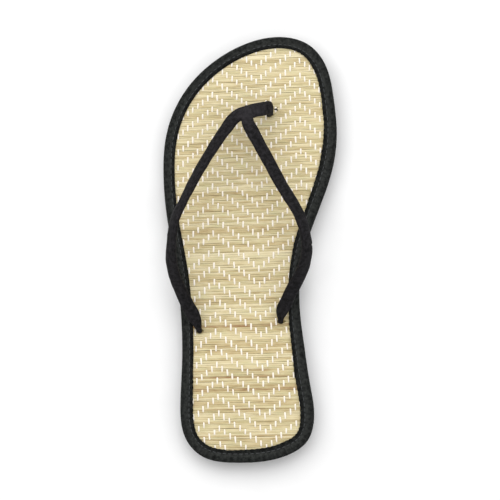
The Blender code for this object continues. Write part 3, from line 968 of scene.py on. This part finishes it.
# Painted highlights: the cloth is painted paler for the light on its top, on the lap and on the toe
# loop beside it.
# Columns: shares of the length and the ball width, reach, how pale.
PAINTED_HIGHLIGHTS = ((0.8180, 0.487, 0.0060, 0.18), (0.8290, 0.560, 0.0060, 0.06))


def strap_row(row):
    """A table row as x, y, z, width, thickness, heading and dip."""
    along, across, rise, width, thickness, heading, dip = row
    x, y = plan(along, across)
    z = sole_top(y) + MAT_TOP + rise * STRAP_RISE
    return x, y, z, width * STRAP_WIDTH, thickness * STRAP_THICKNESS, heading, dip


def stem_rows(hole, heading):
    """The round stem of an end, from just above the mat down to its tab, and the tab's flare."""
    x, y = plan(*HOLES[hole])
    levels = (
        (TAPE_CREST, STEM_DIAMETER),
        (MAT_TOP, STEM_DIAMETER),
        (MAT_BASE, STEM_DIAMETER),
        (FIT + TAB_THICKNESS + FIT, STEM_DIAMETER),
    )
    return [(x, y, sole_top(y) + level, wide, wide, heading, 0) for level, wide in levels]


def cloth_tube(rows, steps):
    """A tube along a spline of rows. Its section is a superellipse square to the line. Cloth detail
    moves each point along its own direction from the middle: crosswise wrinkles on the inside of
    bends, slow unevenness, a sewn seam along the underside, a crease where it passes a folded place,
    and pleats where an end is pinched. Returns the points, their way along and how much painted
    highlight they get."""
    curve = smooth_curve(rows, steps)
    middle = curve[:, :3]
    heading, dip = np.radians(curve[:, 5]), np.radians(curve[:, 6])
    ahead = np.gradient(middle, axis=0)
    step = np.linalg.norm(ahead, axis=1)
    ahead /= step[:, None]
    along = np.cumsum(step)[:, None]
    out = np.column_stack(
        [np.cos(dip) * np.cos(heading), np.cos(dip) * np.sin(heading), -np.sin(dip)]
    )
    out -= ahead * (out * ahead).sum(axis=1)[:, None]
    out /= np.linalg.norm(out, axis=1)[:, None]
    up = np.cross(ahead, out)
    turn = np.arange(STRAP_SIDES) * math.tau / STRAP_SIDES
    wide, thick = (
        np.sign(v) * np.abs(v) ** STRAP_SQUARENESS for v in (np.cos(turn), np.sin(turn))
    )
    bend = np.gradient(ahead, axis=0) / step[:, None]
    toward = (bend * out).sum(1)[:, None] * np.cos(turn) + (bend * up).sum(1)[:, None] * np.sin(turn)
    fine, finest = (along * rate for rate in WRINKLE_RATES)
    wrinkle = np.sin(fine + 0.7 * np.sin(turn * 2)) + 0.6 * np.sin(finest + 2)
    longest, middling, shortest = (along * rate for rate in UNEVEN_RATES)
    slow = np.sin(longest + turn) + np.sin(middling - 2 * turn + 1)
    slow = slow + 0.7 * np.sin(shortest + 3 * turn + 2)
    pinch = np.clip(1 - (curve[:, 3:4] - STEM_DIAMETER) / (STRAP_WIDTH - STEM_DIAMETER), 0, 1)
    pleats = pinch * (1 - pinch) * 4 * np.cos(turn * 6 + along * 200)
    seam = np.exp(-(((turn - 1.5 * math.pi) / SEAM_REACH) ** 2))
    crease = 0
    for fold in CREASES:
        away = np.linalg.norm(middle[:, :2] - plan(*fold), axis=1)
        past = along - along[away.argmin()] + CREASE_LEAN * np.cos(turn)
        crease = crease + np.exp(-((past / CREASE_WIDTH) ** 2)) * (away.min() < STRAP_WIDTH / 4)
    grow = (
        WRINKLE * wrinkle * np.clip(toward / SHARP_BEND, 0, 1)
        + UNEVENNESS * slow
        + PLEAT * pleats
        - SEAM_DEPTH * seam * (1 - pinch)
        - CREASE_DEPTH * crease
    )
    half_wide, half_thick = curve[:, 3:4] / 2, curve[:, 4:5] / 2
    offset_out = ((half_wide + grow) * wide)[:, :, None]
    offset_up = ((half_thick + grow) * thick)[:, :, None]
    grid = middle[:, None] + out[:, None] * offset_out + up[:, None] * offset_up
    # Painted highlight: the lap and the toe loop's top are made paler here, for the light they catch.
    painted_highlight = 0
    for share_along, share_across, reach, pale in PAINTED_HIGHLIGHTS:
        away = np.linalg.norm(middle[:, :2] - plan(share_along, share_across), axis=1)
        painted_highlight = painted_highlight + pale * np.exp(-((away / reach) ** 2))
    return grid, along[:, 0], painted_highlight


# Black cotton, closely woven and sewn to a tube: deeper black than the tape, and a little smoother.
strap_cloth = cloth("black cotton strap tube", "#030303", "#2F2D30", 0.45, 0.01, 0.7, 0.45)
outer_rows = stem_rows("toe", 90)[::-1]
outer_rows += [strap_row(row) for row in TOE_AND_OUTER_ARM]
outer_rows += stem_rows("outer", TOE_AND_OUTER_ARM[-1][5])
inner_rows = [strap_row(row) for row in INNER_ARM] + stem_rows("inner", INNER_ARM[-1][5])
# Columns: name, rows of the middle line, steps along the tube.
for name, rows, steps in (
    ("strap_toe_and_outer_arm", outer_rows, 820),
    ("strap_inner_arm", inner_rows, 600),
):
    grid, along, painted_highlight = cloth_tube(rows, steps)
    points, faces = tubes([grid])
    row, column = quads(*grid.shape[:2], wrap_columns=True)
    girth = np.arange(STRAP_SIDES + 1) * STRAP_GIRTH / STRAP_SIDES
    uv = np.stack([along[row] * 1000, girth[column]], -1).reshape(-1, 2)
    uv = np.vstack([uv, np.zeros((2 * STRAP_SIDES, 2))])
    arm = make_piece(name, points, faces, uv=uv, tone_and_painted_light=np.repeat(painted_highlight, STRAP_SIDES), sharp=75)
    arm.data.materials.append(strap_cloth)
    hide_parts("strap_upper")
    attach(arm, "root")

# The tabs: each end of the tube pressed flat and glued into its pocket under the board.
tab_turn = np.arange(TAB_SIDES) * math.tau / TAB_SIDES
for hole in HOLES:
    tab_x, tab_y = plan(*HOLES[hole])
    levels = FIT + np.array([0, TAB_EDGE, TAB_THICKNESS - TAB_EDGE, TAB_THICKNESS])
    reach = np.array([0.92, 1, 1, 0.92]) * TAB_DIAMETER / 2
    x = tab_x + reach[:, None] * np.cos(tab_turn)
    y = tab_y + reach[:, None] * np.sin(tab_turn)
    points, faces = tubes([np.stack([x, y, sole_top(y) + levels[:, None]], -1)])
    tab = make_piece(f"strap_tab_{hole}", points, faces)
    tab.data.materials.append(strap_cloth)
    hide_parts("strap_upper")
    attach(tab, "root")

# Three ends of sewing thread that stick out where the toe loop was closed.
END_LENGTH = 0.0026
END_RADIUS = 0.00028
END_TAPER = 0.0001
END_ROOT = (0.8300, 0.6370)  # shares of the length and the ball width
END_RISE = 0.30  # share of the strap's rise
thread_root = np.array([*plan(*END_ROOT), 0.0])
thread_root[2] = sole_top(thread_root[1]) + MAT_TOP + END_RISE * STRAP_RISE
ends = []
# Columns: how far an end strays in y and in z.
for side_y, side_z in ((0.00045, 0.0002), (-0.0001, 0.0006), (-0.0005, 0.0003)):
    t = np.linspace(0, 1, 8)
    bow = 0.2 + 2 * t**2
    line = thread_root + np.column_stack([END_LENGTH * t, side_y * bow, side_z * bow])
    turn = np.arange(THREAD_SIDES) * math.tau / THREAD_SIDES
    ring = np.stack([np.zeros(THREAD_SIDES), np.cos(turn), np.sin(turn)], -1)
    ends.append(line[:, None] + ring * (END_RADIUS - END_TAPER * t)[:, None, None])
points, faces = tubes(ends)
thread_ends = make_piece("strap_thread_ends", points, faces, sharp=180)
thread_ends.data.materials.append(strap_cloth)
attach(thread_ends, "root")

# The setting: a plain white floor, two wide soft lamps and a camera that looks straight down.

FLOOR_SIDE = 6.0
FLOOR_GAP = 0.0002  # how far it lies below the sole, so that they share no plane
CAMERA_HEIGHT = 5.0
SENSOR_WIDTH = 36  # millimetres
SPAN = 0.300  # length at the mat's height that fills the picture's height
SKY_STRENGTH = 0.66
camera_data = bpy.data.cameras.new("camera")
camera_data.sensor_width = SENSOR_WIDTH
camera_data.lens = SENSOR_WIDTH * (CAMERA_HEIGHT - MAT_TOP) / SPAN
camera = bpy.data.objects.new("camera", camera_data)
camera.location = (0, 0, CAMERA_HEIGHT)
bpy.context.scene.collection.objects.link(camera)
bpy.context.scene.camera = camera

paper = new_material("white seamless paper")
grain = add(
    paper, "ShaderNodeTexNoise", {"Vector": place_on(paper, 1, 1, 1), "Scale": 40.0, "Detail": 2.0}
)
finish_material(
    paper,
    Base_Color=ramp(paper, grain.outputs[0], (0.3, "#F4F4F4"), (0.7, "#F7F7F7")),
    Roughness=0.9,
)
side = FLOOR_SIDE / 2
corners = np.array([(-side, -side, 0), (side, -side, 0), (side, side, 0), (-side, side, 0)])
floor_mesh = bpy.data.meshes.new("floor")
floor_mesh.from_pydata((corners - (0, 0, FLOOR_GAP)).tolist(), [], [(0, 1, 2, 3)])
floor = bpy.data.objects.new("floor", floor_mesh)
floor.data.materials.append(paper)
bpy.context.scene.collection.objects.link(floor)

# Columns: name, place, side of the lamp's square, power in watts.
for name, place, width, power in (
    ("key_lamp", (-0.35, 0.6, 1.1), 1.3, 10.8),
    ("fill_lamp", (0.7, 0.5, 1.6), 1.6, 7),
):
    lamp_data = bpy.data.lights.new(name, "AREA")
    lamp_data.size = width
    lamp_data.energy = power
    lamp = bpy.data.objects.new(name, lamp_data)
    lamp.location = place
    lamp.rotation_euler = (-lamp.location).to_track_quat("-Z", "Y").to_euler()
    bpy.context.scene.collection.objects.link(lamp)

sky = bpy.data.worlds.new("studio")
sky.use_nodes = True
sky.node_tree.nodes["Background"].inputs["Color"].default_value = (1, 1, 1, 1)
sky.node_tree.nodes["Background"].inputs["Strength"].default_value = SKY_STRENGTH
bpy.context.scene.world = sky
bpy.context.scene.view_settings.view_transform = "Standard"
